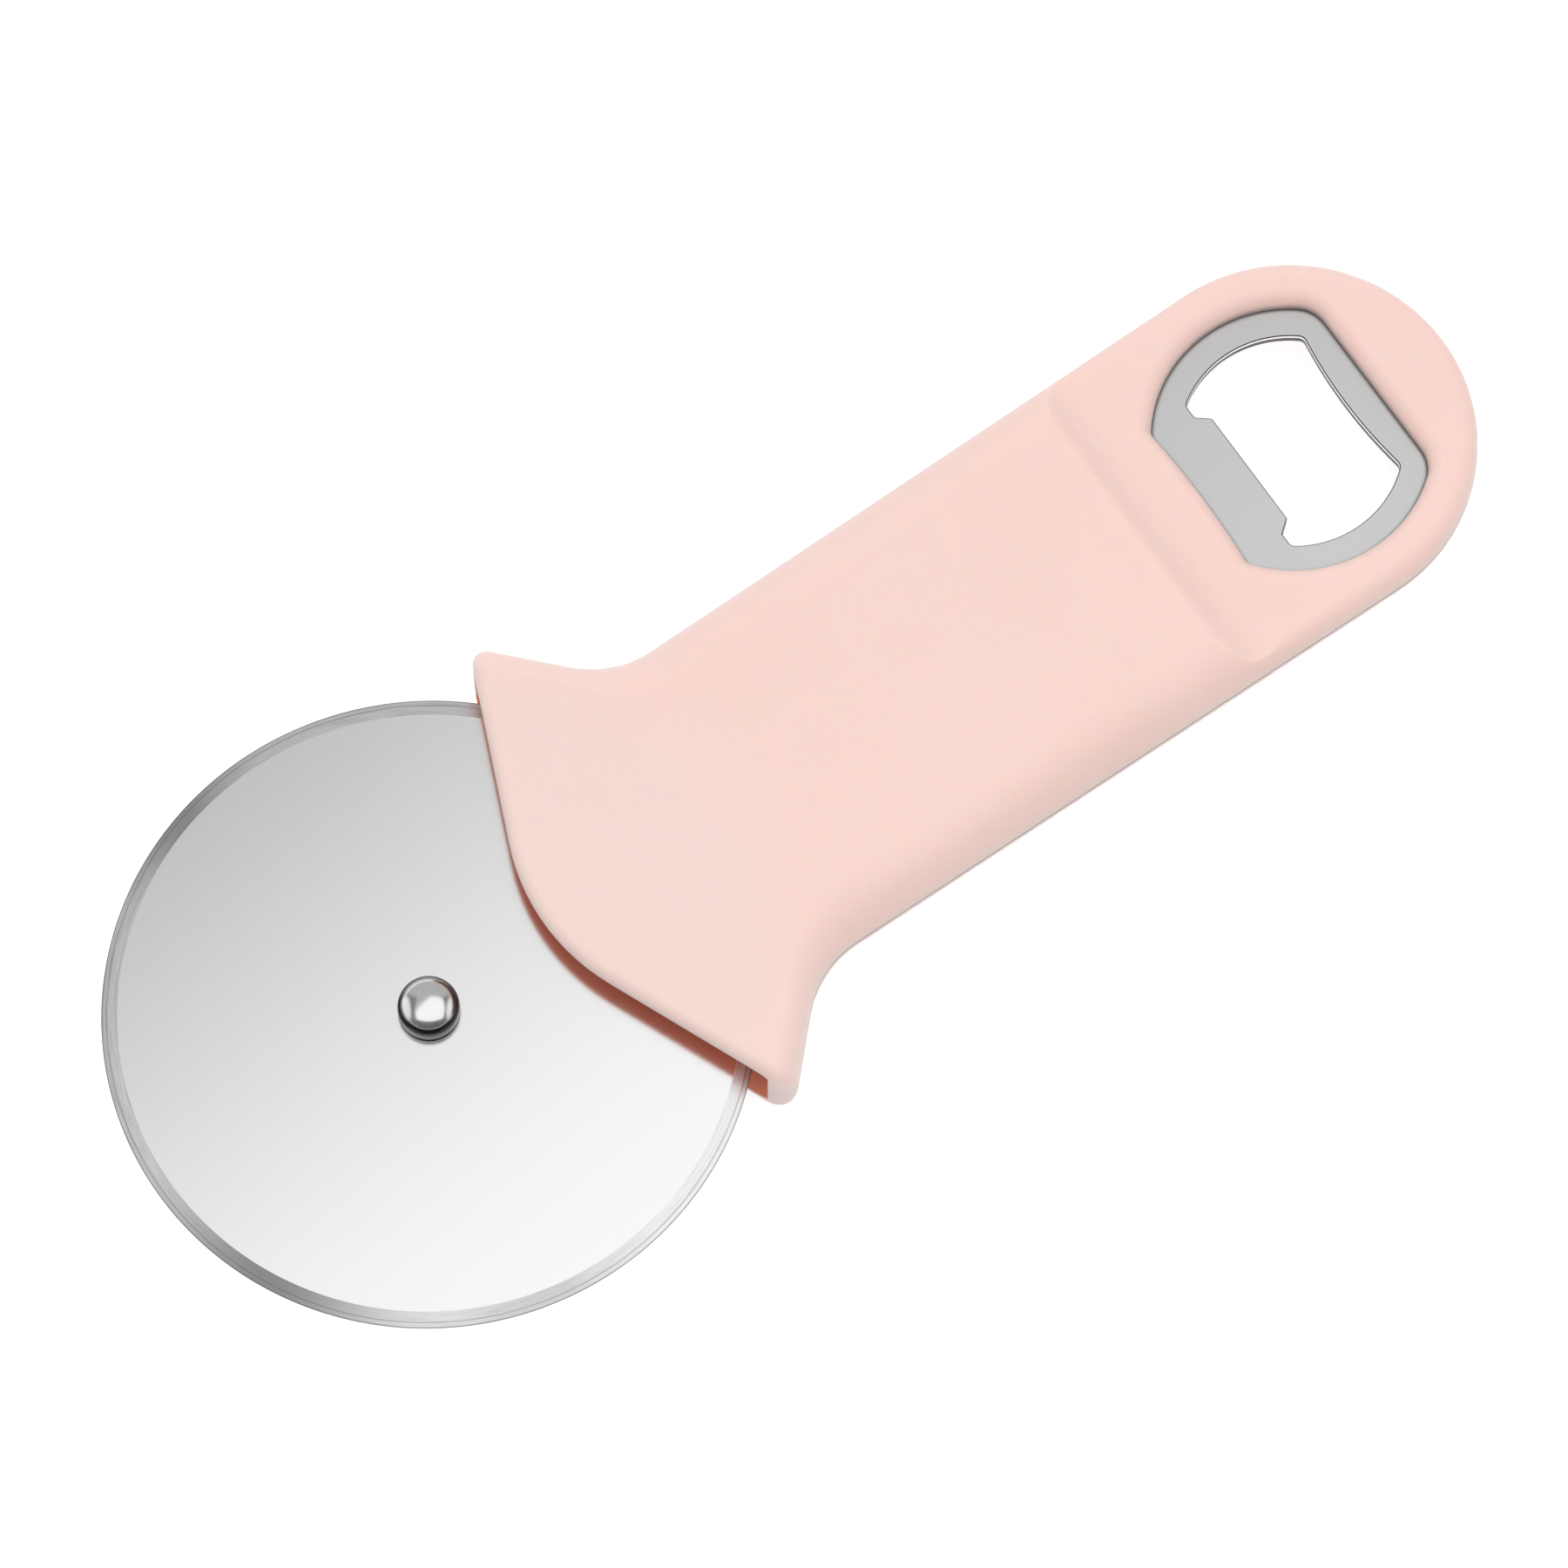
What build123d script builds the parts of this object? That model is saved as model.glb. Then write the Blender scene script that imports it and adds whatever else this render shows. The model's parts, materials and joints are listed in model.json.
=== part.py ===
"""Pizza cutter with a crown-cap opener in its handle.

The tool lies on its back. +X runs from the wheel to the opener end, +Z is up, through the front face,
and the origin is the bottom centre of the whole tool's box. All lengths are in millimetres.
"""

import os
from math import cos, radians, sin, sqrt, tan

from build123d import *

os.makedirs("parts", exist_ok=True)

# Wheel
wheel_diameter = 88.9
wheel_thickness = 1.0
bevel_width = 2.2
cutting_edge_thickness = 0.16

# Handle outline. The waist is the narrow place behind the hood, just past the wheel's rear edge.
hood_cover = 25.45
waist_gap = 8.65
waist_radius = 15.0
grip_length = 90.5
grip_half_width = 25.0
end_radius = 25.7
flare_angle = 45.9
flare_run = 22.6
flare_settle = 4.4
mouth_nose_radius = 30.5
mouth_sweep_angle = 23.2
tip_radius = 2.3
tip_margin = 0.05

# Handle section
body_thickness = 15.0
wall = 2.4
parting_flat = 0.3
seam_depth = 0.15
seam_height = 0.24
hood_edge_radius = 5.4
inner_corner_radius = 4.2
rim_radius = 1.8
rim_search_width = 2.0

# Opener end, thinner than the grip. A flat is how far a straight side cuts into its circle.
paddle_thickness = 8.4
step_foot_setback = 23.7
step_run = 3.0
step_crest_radius = 2.2
step_foot_radius = 3.4
paddle_gap = 2.0
paddle_blend = 5.0
paddle_start_radius = 0.3
paddle_edge_radius = 2.6
pocket_border = 6.3
pocket_near_flat = 3.7
pocket_near_bow = 0.5
pocket_far_flat = 5.6
pocket_far_corner_radius = 5.0
pocket_near_corner_radius = 1.2
pocket_rim_radius = 2.4

# Opener plate
plate_thickness = 2.0
plate_lap = 3.0
plate_tail_setback = 31.6
plate_tail_half_width = 15.0
plate_corner_radius = 2.0
plate_border = 4.0
opener_near_flat = 6.4
opener_far_flat = 5.1
opener_far_bow = 0.95
opener_lip_depth = 1.9
opener_lip_half_width = 8.9
opener_lip_flank = 1.5
opener_lip_corner_radius = 0.4
opener_corner_radius = 1.1
peg_margin = 5.5
peg_half_spacing = 9.0
peg_diameter = 4.0
peg_height = 1.0

# Wheel mounting
rivet_shank_diameter = 4.0
rivet_head_diameter = 8.5
rivet_head_rim = 0.8
rivet_tail_diameter = 6.6
rivet_tail_height = 1.3
bush_diameter = 6.0
washer_diameter = 15.0
washer_thickness = 0.5
burr_diameter = 9.0
burr_thickness = 0.8
arm_thickness = 2.0
arm_end_radius = 7.0
arm_half_width = 9.0
arm_shoulder_setback = 2.0
arm_tail_gap = 13.0
arm_tail_corner_radius = 3.0

# Hollows inside the handle
well_clearance = 2.7
bulkhead_thickness = 4.85
tongue_thickness = 4.4
end_wall = 6.0
rib_thickness = 1.6
rib_shares = (0.4, 0.7)
pin_overlap = 1.25
pin_diameter = 3.0
pin_height = 2.2

# Screws and plugs
shank_diameter = 2.8
head_diameter = 5.4
head_height = 1.7
head_edge_radius = 0.5
recess_width = 0.8
recess_length = 3.0
recess_depth = 0.9
screw_tip_length = 1.0
boss_wall = 1.2
shell_screw_engagement = 4.0
end_screw_engagement = 2.2
arm_screw_skin = 1.4
arm_screw_shares = (0.2, 0.85)
hood_screw_gap = 3.15
hood_screw_margin = 7.2
grip_screw_gap = 7.0
grip_screw_margin = 10.2
end_screw_gap = 3.7
plug_thickness = 1.0
plug_edge_radius = 0.2

# Fits
running_clearance = 0.05
end_play = 0.1
fit_clearance = 0.1
thread_bite = 0.1
cut_overrun = 2.0
quarter_turn = 90

# Sizes worked out from those above
wheel_radius = wheel_diameter / 2
rear_reach = wheel_radius + waist_gap + grip_length + end_radius
axle_x = wheel_radius - (wheel_radius + rear_reach) / 2
rim_x = axle_x + wheel_radius
mouth_x = rim_x - hood_cover
waist_x = rim_x + waist_gap
end_x = waist_x + grip_length
rear_x = end_x + end_radius
half_body = body_thickness / 2
half_paddle = paddle_thickness / 2
half_plate = plate_thickness / 2
half_wheel = wheel_thickness / 2
mid_z = half_body
paddle_back_z = mid_z - half_paddle
taper = (end_radius - grip_half_width) / grip_length
grip_edge_radius = half_body - parting_flat
shank_radius = shank_diameter / 2
head_radius = head_diameter / 2
screw_well_radius = head_radius + fit_clearance
screw_well_depth = plug_thickness + head_height
boss_radius = screw_well_radius + boss_wall
pilot_radius = shank_radius - thread_bite
rivet_shank_radius = rivet_shank_diameter / 2
rivet_head_radius = rivet_head_diameter / 2
rivet_tail_radius = rivet_tail_diameter / 2
bush_radius = bush_diameter / 2
head_seat_z = mid_z + half_wheel + end_play
washer_top_z = mid_z - half_wheel - end_play
arm_top_z = washer_top_z - washer_thickness
arm_bottom_z = arm_top_z - arm_thickness
burr_bottom_z = arm_bottom_z - burr_thickness
step_foot_x = end_x - step_foot_setback
step_crest_x = step_foot_x - step_run
paddle_x = step_foot_x + paddle_gap
pocket_radius = end_radius - pocket_border
pocket_near_x = end_x - pocket_radius + pocket_near_flat
pocket_far_x = end_x + pocket_radius - pocket_far_flat
plate_radius = pocket_radius + plate_lap
plate_tail_x = end_x - plate_tail_setback
plate_far_x = pocket_far_x + plate_lap
opener_radius = pocket_radius - plate_border
opener_near_x = end_x - opener_radius + opener_near_flat
opener_far_x = end_x + opener_radius - opener_far_flat
opener_lip_x = opener_near_x + opener_lip_depth
well_radius = wheel_radius + well_clearance
bulkhead_x = axle_x + well_radius + bulkhead_thickness
tongue_x = bulkhead_x - tongue_thickness
hollow_end_x = plate_tail_x - end_wall
arm_shoulder_x = bulkhead_x - arm_shoulder_setback
arm_tail_x = hollow_end_x - arm_tail_gap
mid_plane = Plane.XY.offset(mid_z)
axle_axis = Axis((axle_x, 0, 0), (0, 0, 1))
axle_section = Plane((axle_x, 0, 0), x_dir=(1, 0, 0), z_dir=(0, -1, 0))


def both_sides(x, half_spacing):
    """A place on each side of the handle's centre line."""
    return [(x, half_spacing), (x, -half_spacing)]


def down_the_arm(share):
    """X of a place on the arm inside the grip, by its share of the way to the arm's tail."""
    return bulkhead_x + share * (arm_tail_x - bulkhead_x)


grip_screw_places = both_sides(hollow_end_x - grip_screw_gap, grip_half_width - grip_screw_margin)
shell_screw_places = both_sides(rim_x + hood_screw_gap, grip_half_width - hood_screw_margin) + grip_screw_places
end_screw_place = (plate_far_x + end_screw_gap, 0)
arm_screw_places = [(down_the_arm(share), 0) for share in arm_screw_shares]
peg_places = both_sides(plate_tail_x + peg_margin, peg_half_spacing)
pin_places = both_sides(rim_x - pin_overlap, grip_half_width)

# Handle form, shared by both shells


def half_width_at(x, inset):
    """Half the handle's width at x, with its sides moved in by inset."""
    run = waist_x - x
    flare = radians(flare_angle)
    arc_run = waist_radius * sin(flare)
    if run <= 0:
        return grip_half_width - run * taper - inset
    if run <= arc_run:
        drop = sqrt(waist_radius**2 - run**2)
        return grip_half_width + waist_radius - drop - inset * waist_radius / drop
    arc_rise = waist_radius * (1 - cos(flare))
    return grip_half_width + arc_rise + (run - arc_run) * tan(flare) - inset / cos(flare)


def edge_radius_at(x):
    """Rounding of the long edges: full round on the grip, small on the hood."""
    share = min(max((waist_x - x) / waist_radius, 0), 1)
    blend = share * share * (3 - 2 * share)
    return grip_edge_radius + (hood_edge_radius - grip_edge_radius) * blend


def section_at(x, inset):
    """Cross-section of the handle at x, smaller by inset all round."""
    with BuildSketch(Plane((x, 0, mid_z), x_dir=(0, 1, 0), z_dir=(1, 0, 0))) as section:
        RectangleRounded(
            2 * half_width_at(x, inset),
            2 * (half_body - inset),
            max(edge_radius_at(x) - inset, inner_corner_radius),
        )
    return section.sketch


def long_form(inset):
    """The handle from the hood's open end to the centre of the round end."""
    flare_start_x = waist_x - flare_run
    flare_end_x = waist_x + flare_settle
    stations = 13
    with BuildPart() as form:
        for number in range(stations):
            share = number / (stations - 1)
            add(section_at(flare_start_x + share * (flare_end_x - flare_start_x), inset))
        loft()
        add(section_at(flare_end_x, inset))
        add(section_at(end_x, inset))
        loft(ruled=True)
        add(section_at(flare_start_x, inset))
        extrude(amount=flare_start_x - mouth_x, dir=(-1, 0, 0))
    return form.part


outer_long_form = long_form(0)
inner_long_form = long_form(wall)

skin_long_form = long_form(seam_depth)


def paddle_section_at(x, edge_radius):
    """Cross-section of the opener end at x: the grip's round sides, cut down and rounded again."""
    with BuildSketch(Plane((x, 0, mid_z), x_dir=(0, 1, 0), z_dir=(1, 0, 0))) as section:
        RectangleRounded(2 * half_width_at(x, 0), body_thickness, grip_edge_radius)
        Rectangle(2 * half_width_at(x, 0), paddle_thickness, mode=Mode.INTERSECT)
        levels = section.vertices().group_by(Axis.Y)
        fillet(levels[0] + levels[-1], edge_radius)
    return section.sketch


with BuildPart() as opener_end:
    add(paddle_section_at(paddle_x, paddle_start_radius))
    add(paddle_section_at(paddle_x + paddle_blend, paddle_edge_radius))
    loft(ruled=True)
    add(paddle_section_at(paddle_x + paddle_blend, paddle_edge_radius))
    add(paddle_section_at(end_x, paddle_edge_radius))
    loft(ruled=True)
    with BuildSketch(Plane((end_x, 0, mid_z), x_dir=(0, -1, 0), z_dir=(-1, 0, 0))) as end_section:
        with Locations((end_radius / 2, 0)):
            Rectangle(end_radius, body_thickness)
        fillet(end_section.vertices().group_by(Axis.X)[-1], grip_edge_radius)
        with Locations((end_radius / 2, 0)):
            Rectangle(end_radius, paddle_thickness, mode=Mode.INTERSECT)
        levels = end_section.vertices().group_by(Axis.Y)
        outer_corners = [level.sort_by(Axis.X)[-1] for level in (levels[0], levels[-1])]
        fillet(outer_corners, paddle_edge_radius)
    revolve(axis=Axis((end_x, 0, 0), (0, 0, 1)), revolution_arc=180)

# The side outline as far as the opener end: full thickness, then a soft step down
with BuildPart() as side_form:
    with BuildSketch(Plane((0, 0, mid_z), x_dir=(1, 0, 0), z_dir=(0, -1, 0))) as side_outline:
        with BuildLine() as upper_side:
            Polyline(
                (axle_x, 0),
                (axle_x, half_body),
                (step_crest_x, half_body),
                (step_foot_x, half_paddle),
                (paddle_x, half_paddle),
                (paddle_x, 0),
            )
            mirror(about=Plane.XZ)
        make_face()
        crests = side_outline.vertices().filter_by_position(
            Axis.X, step_crest_x - fit_clearance, step_crest_x + fit_clearance
        )
        fillet(crests, step_crest_radius)
        feet = side_outline.vertices().filter_by_position(
            Axis.X, step_foot_x - fit_clearance, step_foot_x + fit_clearance
        )
        fillet(feet, step_foot_radius)
    extrude(amount=2 * end_radius, both=True)

# The mouth: a round nose between two straight swept edges that end in rounded tips
sweep = radians(mouth_sweep_angle)
nose_half_width = mouth_nose_radius * sin(sweep)
nose_end_x = mouth_x + mouth_nose_radius * (1 - cos(sweep))
swept_line_x = nose_end_x - nose_half_width * tan(sweep)
tip_half_width = half_width_at(swept_line_x, -tip_margin) / (1 + tan(radians(flare_angle)) * tan(sweep))
tip_x = swept_line_x + tip_half_width * tan(sweep)
tip_run = 3 * tip_radius
flank_x = tip_x + tip_run / tan(radians(flare_angle))

with BuildSketch() as ahead_of_mouth:
    with BuildLine():
        ThreePointArc(
            (nose_end_x, -nose_half_width), (mouth_x, 0), (nose_end_x, nose_half_width)
        )
        Polyline(
            (nose_end_x, nose_half_width),
            (tip_x, tip_half_width),
            (flank_x, tip_half_width - tip_run),
            (flank_x, 2 * tip_half_width),
            (axle_x, 2 * tip_half_width),
            (axle_x, -2 * tip_half_width),
            (flank_x, -2 * tip_half_width),
            (flank_x, tip_run - tip_half_width),
            (tip_x, -tip_half_width),
            (nose_end_x, -nose_half_width),
        )
    make_face()
    tips = ahead_of_mouth.vertices().filter_by_position(Axis.X, tip_x - fit_clearance, tip_x + fit_clearance)
    fillet(tips, tip_radius)

# The pocket that shows the opener plate
with BuildSketch() as pocket_outline:
    with Locations((end_x, 0)):
        Circle(pocket_radius)
    with Locations(((pocket_near_x + pocket_far_x) / 2, 0)):
        Rectangle(pocket_far_x - pocket_near_x, 2 * pocket_radius, mode=Mode.INTERSECT)
    fillet(pocket_outline.vertices().group_by(Axis.X)[-1], pocket_far_corner_radius)
    near_half_width = sqrt(pocket_radius**2 - (end_x - pocket_near_x) ** 2)
    with BuildLine():
        ThreePointArc(
            (pocket_near_x, near_half_width),
            (pocket_near_x + pocket_near_bow, 0),
            (pocket_near_x, -near_half_width),
        )
        Line((pocket_near_x, near_half_width), (pocket_near_x, -near_half_width))
    make_face(mode=Mode.SUBTRACT)
    fillet(pocket_outline.vertices().group_by(Axis.X)[0], pocket_near_corner_radius)

with BuildPart() as handle_form:
    add(outer_long_form)
    add(side_form.part, mode=Mode.INTERSECT)
    add(opener_end.part)
    extrude(ahead_of_mouth.sketch, amount=body_thickness, mode=Mode.SUBTRACT)
    extrude(pocket_outline.sketch, amount=body_thickness, mode=Mode.SUBTRACT)


def is_pocket_rim(edge):
    """True for the edges where the pocket opens on the front or the back."""
    place = edge.center()
    on_face = abs(abs(place.Z - mid_z) - half_paddle) < fit_clearance
    from_end = sqrt((place.X - end_x) ** 2 + place.Y**2)
    return on_face and from_end < pocket_radius + fit_clearance


def is_mouth_rim(edge):
    """True for the mouth's edges on the front and back faces."""
    place = edge.center()
    on_face = abs(place.Z - mid_z) > half_body - fit_clearance
    swept_x = swept_line_x + abs(place.Y) * tan(sweep)
    return on_face and place.X < max(swept_x, mouth_x) + rim_search_width


# The seam: a fine groove round the outside, where the shells meet
with BuildPart() as seam:
    with BuildSketch(mid_plane.offset(-seam_height / 2)):
        with Locations(((mouth_x + rear_x) / 2, 0)):
            Rectangle(rear_x - mouth_x + cut_overrun, 2 * wheel_diameter)
    extrude(amount=seam_height)
    add(skin_long_form, mode=Mode.SUBTRACT)
    with BuildSketch():
        with Locations((end_x, 0)):
            Circle(end_radius - seam_depth)
    extrude(amount=body_thickness, mode=Mode.SUBTRACT)

with BuildPart() as rounded_form:
    add(handle_form.part)
    fillet(rounded_form.edges().filter_by(is_pocket_rim), pocket_rim_radius)
    fillet(rounded_form.edges().filter_by(is_mouth_rim), rim_radius)
    add(seam.part, mode=Mode.SUBTRACT)

# Hollows: the well that the wheel turns in, and the inside of the grip
with BuildPart() as wheel_well:
    with BuildSketch():
        with Locations((axle_x, 0)):
            Circle(well_radius)
    extrude(amount=body_thickness)
    add(inner_long_form, mode=Mode.INTERSECT)

with BuildPart() as grip_hollow:
    with BuildSketch():
        with Locations(((bulkhead_x + hollow_end_x) / 2, 0)):
            Rectangle(hollow_end_x - bulkhead_x, 2 * end_radius)
    extrude(amount=body_thickness)
    add(inner_long_form, mode=Mode.INTERSECT)
    with BuildSketch():
        with Locations(*[(down_the_arm(share), 0) for share in rib_shares]):
            Rectangle(rib_thickness, 2 * end_radius)
        with Locations(*grip_screw_places):
            Circle(boss_radius)
    extrude(amount=body_thickness, mode=Mode.SUBTRACT)

with BuildSketch() as arm_outline:
    with BuildLine():
        Polyline(
            (axle_x, arm_end_radius),
            (arm_shoulder_x, arm_half_width),
            (arm_tail_x, arm_half_width),
            (arm_tail_x, -arm_half_width),
            (arm_shoulder_x, -arm_half_width),
            (axle_x, -arm_end_radius),
            (axle_x, arm_end_radius),
        )
    make_face()
    fillet(arm_outline.vertices().group_by(Axis.X)[-1], arm_tail_corner_radius)
    with Locations((axle_x, 0)):
        Circle(arm_end_radius)

with BuildSketch() as plate_outline:
    with Locations((end_x, 0)):
        Circle(plate_radius)
    with Locations(((plate_tail_x + end_x) / 2, 0)):
        Rectangle(end_x - plate_tail_x, 2 * plate_tail_half_width)
    with Locations(((plate_tail_x + plate_far_x) / 2, 0)):
        Rectangle(plate_far_x - plate_tail_x, 2 * plate_radius, mode=Mode.INTERSECT)
    fillet(plate_outline.vertices().group_by(Axis.X)[0], plate_corner_radius)
    fillet(plate_outline.vertices().group_by(Axis.X)[-1], plate_corner_radius)

# Front shell
with BuildPart() as front_shell:
    add(rounded_form.part)
    split(bisect_by=mid_plane, keep=Keep.TOP)
    add(wheel_well.part, mode=Mode.SUBTRACT)
    add(grip_hollow.part, mode=Mode.SUBTRACT)
    with BuildSketch(mid_plane):
        offset(plate_outline.sketch, amount=fit_clearance)
    extrude(amount=half_plate, mode=Mode.SUBTRACT)
    with BuildSketch(mid_plane):
        with Locations(*peg_places):
            Circle(peg_diameter / 2)
    extrude(amount=half_plate + peg_height + fit_clearance, mode=Mode.SUBTRACT)
    with BuildSketch(mid_plane):
        with Locations(*pin_places):
            Circle(pin_diameter / 2)
    extrude(amount=pin_height + fit_clearance, mode=Mode.SUBTRACT)
    with BuildSketch(mid_plane):
        with Locations(*shell_screw_places):
            Circle(pilot_radius)
    extrude(amount=shell_screw_engagement + fit_clearance, mode=Mode.SUBTRACT)
    with BuildSketch(mid_plane):
        with Locations(end_screw_place):
            Circle(pilot_radius)
    extrude(amount=end_screw_engagement + fit_clearance, mode=Mode.SUBTRACT)
    # A tongue closes the bulkhead's gap above the arm
    with BuildSketch(mid_plane):
        with Locations(((tongue_x + bulkhead_x) / 2, 0)):
            Rectangle(tongue_thickness, 2 * (arm_half_width - fit_clearance))
    extrude(amount=arm_top_z + fit_clearance - mid_z)
front_shell.part.label = "front_shell"
export_step(front_shell.part, "parts/front_shell.step")

# Back shell
with BuildPart() as back_shell:
    add(rounded_form.part)
    split(bisect_by=mid_plane, keep=Keep.BOTTOM)
    add(wheel_well.part, mode=Mode.SUBTRACT)
    add(grip_hollow.part, mode=Mode.SUBTRACT)
    with BuildSketch(Plane.XY.offset(wall)):
        with Locations(*arm_screw_places):
            Circle(boss_radius)
    extrude(amount=arm_bottom_z - wall)
    with BuildSketch(Plane.XY.offset(arm_bottom_z)):
        offset(arm_outline.sketch, amount=fit_clearance)
    extrude(amount=mid_z - arm_bottom_z, mode=Mode.SUBTRACT)
    with BuildSketch(mid_plane):
        offset(plate_outline.sketch, amount=fit_clearance)
    extrude(amount=-half_plate, mode=Mode.SUBTRACT)
    with BuildSketch(mid_plane.offset(-half_plate)):
        with Locations(*peg_places):
            Circle(peg_diameter / 2 - fit_clearance)
    extrude(amount=plate_thickness + peg_height)
    with BuildSketch(mid_plane):
        with Locations(*pin_places):
            Circle(pin_diameter / 2 - fit_clearance)
    extrude(amount=pin_height)
    with BuildSketch(Plane.XY.offset(arm_bottom_z)):
        with Locations(*arm_screw_places):
            Circle(pilot_radius)
    extrude(amount=arm_screw_skin - fit_clearance - arm_bottom_z, mode=Mode.SUBTRACT)
    with BuildSketch():
        with Locations(*shell_screw_places, end_screw_place):
            Circle(shank_radius + fit_clearance)
    extrude(amount=body_thickness, mode=Mode.SUBTRACT)
    with BuildSketch():
        with Locations(*shell_screw_places):
            Circle(screw_well_radius)
    extrude(amount=screw_well_depth, mode=Mode.SUBTRACT)
    with BuildSketch():
        with Locations(end_screw_place):
            Circle(screw_well_radius)
    extrude(amount=paddle_back_z + screw_well_depth, mode=Mode.SUBTRACT)
back_shell.part.label = "back_shell"
export_step(back_shell.part, "parts/back_shell.step")

# Opener plate: a stamped frame with a straight lip that hooks under the cap
with BuildPart() as opener_plate:
    with BuildSketch(mid_plane.offset(-half_plate)):
        add(plate_outline.sketch)
        with Locations(*peg_places):
            Circle(peg_diameter / 2, mode=Mode.SUBTRACT)
    extrude(amount=plate_thickness)
    with BuildSketch(mid_plane.offset(-half_plate)) as opening:
        with Locations((end_x, 0)):
            Circle(opener_radius)
        with Locations(((opener_near_x + opener_far_x) / 2, 0)):
            Rectangle(opener_far_x - opener_near_x, 2 * opener_radius, mode=Mode.INTERSECT)
        far_half_width = sqrt(opener_radius**2 - (opener_far_x - end_x) ** 2)
        with BuildLine():
            ThreePointArc(
                (opener_far_x, far_half_width),
                (opener_far_x - opener_far_bow, 0),
                (opener_far_x, -far_half_width),
            )
            Line((opener_far_x, far_half_width), (opener_far_x, -far_half_width))
        make_face(mode=Mode.SUBTRACT)
        fillet(opening.vertices(), opener_corner_radius)
        with BuildLine():
            Polyline(
                (opener_near_x, opener_lip_half_width + opener_lip_flank),
                (opener_lip_x, opener_lip_half_width),
                (opener_lip_x, -opener_lip_half_width),
                (opener_near_x, -opener_lip_half_width - opener_lip_flank),
                close=True,
            )
        make_face(mode=Mode.SUBTRACT)
        lip_ends = opening.vertices().filter_by_position(
            Axis.X, opener_lip_x - fit_clearance, opener_lip_x + fit_clearance
        )
        fillet(lip_ends, opener_lip_corner_radius)
    extrude(amount=plate_thickness, mode=Mode.SUBTRACT)
opener_plate.part.label = "opener_plate"
export_step(opener_plate.part, "parts/opener_plate.step")

# Cutting wheel, bevelled on both faces
with BuildPart() as cutting_wheel:
    with BuildSketch(axle_section):
        with BuildLine():
            Polyline(
                (bush_radius + running_clearance, mid_z + half_wheel),
                (wheel_radius - bevel_width, mid_z + half_wheel),
                (wheel_radius, mid_z + cutting_edge_thickness / 2),
                (wheel_radius, mid_z - cutting_edge_thickness / 2),
                (wheel_radius - bevel_width, mid_z - half_wheel),
                (bush_radius + running_clearance, mid_z - half_wheel),
                close=True,
            )
        make_face()
    revolve(axis=axle_axis)
cutting_wheel.part.label = "cutting_wheel"
export_step(cutting_wheel.part, "parts/cutting_wheel.step")

# Bush: keeps the clinched rivet from gripping the wheel
with BuildPart() as axle_bush:
    with BuildSketch(Plane.XY.offset(arm_top_z)):
        with Locations((axle_x, 0)):
            Circle(bush_radius)
            Circle(rivet_shank_radius + running_clearance, mode=Mode.SUBTRACT)
    extrude(amount=head_seat_z - arm_top_z)
axle_bush.part.label = "axle_bush"
export_step(axle_bush.part, "parts/axle_bush.step")

# Washer between the wheel and the arm
with BuildPart() as spacer_washer:
    with BuildSketch(Plane.XY.offset(arm_top_z)):
        with Locations((axle_x, 0)):
            Circle(washer_diameter / 2)
            Circle(bush_radius + fit_clearance, mode=Mode.SUBTRACT)
    extrude(amount=washer_thickness)
spacer_washer.part.label = "spacer_washer"
export_step(spacer_washer.part, "parts/spacer_washer.step")

# Arm: a steel strip from the grip to the axle, behind the wheel
with BuildPart() as wheel_arm:
    with BuildSketch(Plane.XY.offset(arm_bottom_z)):
        add(arm_outline.sketch)
        with Locations((axle_x, 0)):
            Circle(rivet_shank_radius + fit_clearance, mode=Mode.SUBTRACT)
        with Locations(*arm_screw_places):
            Circle(shank_radius + fit_clearance, mode=Mode.SUBTRACT)
    extrude(amount=arm_thickness)
wheel_arm.part.label = "wheel_arm"
export_step(wheel_arm.part, "parts/wheel_arm.step")

# Washer under the rivet's clinched tail
with BuildPart() as rivet_burr:
    with BuildSketch(Plane.XY.offset(burr_bottom_z)):
        with Locations((axle_x, 0)):
            Circle(burr_diameter / 2)
            Circle(rivet_shank_radius + fit_clearance, mode=Mode.SUBTRACT)
    extrude(amount=burr_thickness)
rivet_burr.part.label = "rivet_burr"
export_step(rivet_burr.part, "parts/rivet_burr.step")

# Rivet: domed head in front, shank, clinched tail behind
with BuildPart() as axle_rivet:
    with BuildSketch(axle_section):
        with BuildLine():
            dome_z = head_seat_z + rivet_head_rim
            CenterArc((0, dome_z), rivet_head_radius, 0, quarter_turn)
            Polyline(
                (rivet_head_radius, dome_z),
                (rivet_head_radius, head_seat_z),
                (rivet_shank_radius, head_seat_z),
                (rivet_shank_radius, burr_bottom_z),
                (rivet_tail_radius, burr_bottom_z),
            )
            EllipticalCenterArc(
                (0, burr_bottom_z), rivet_tail_radius, rivet_tail_height, -quarter_turn, arc_size=quarter_turn
            )
            Line((0, burr_bottom_z - rivet_tail_height), (0, dome_z + rivet_head_radius))
        make_face()
    revolve(axis=axle_axis)
axle_rivet.part.label = "axle_rivet"
export_step(axle_rivet.part, "parts/axle_rivet.step")


def screw_form(shank_length):
    """A pan-head screw with a cross recess. Its seat is at the origin and its shank runs up."""
    with BuildPart() as screw:
        with BuildSketch(Plane.XY.offset(-head_height)):
            Circle(head_radius)
        extrude(amount=head_height)
        fillet(screw.edges().group_by(Axis.Z)[0], head_edge_radius)
        with BuildSketch(Plane.XY.offset(-head_height)):
            Rectangle(recess_length, recess_width)
            Rectangle(recess_width, recess_length)
        extrude(amount=recess_depth, mode=Mode.SUBTRACT)
        with BuildSketch():
            Circle(shank_radius)
        extrude(amount=shank_length)
        chamfer(screw.edges().group_by(Axis.Z)[-1], screw_tip_length, shank_radius / 2)
    return screw.part


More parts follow.
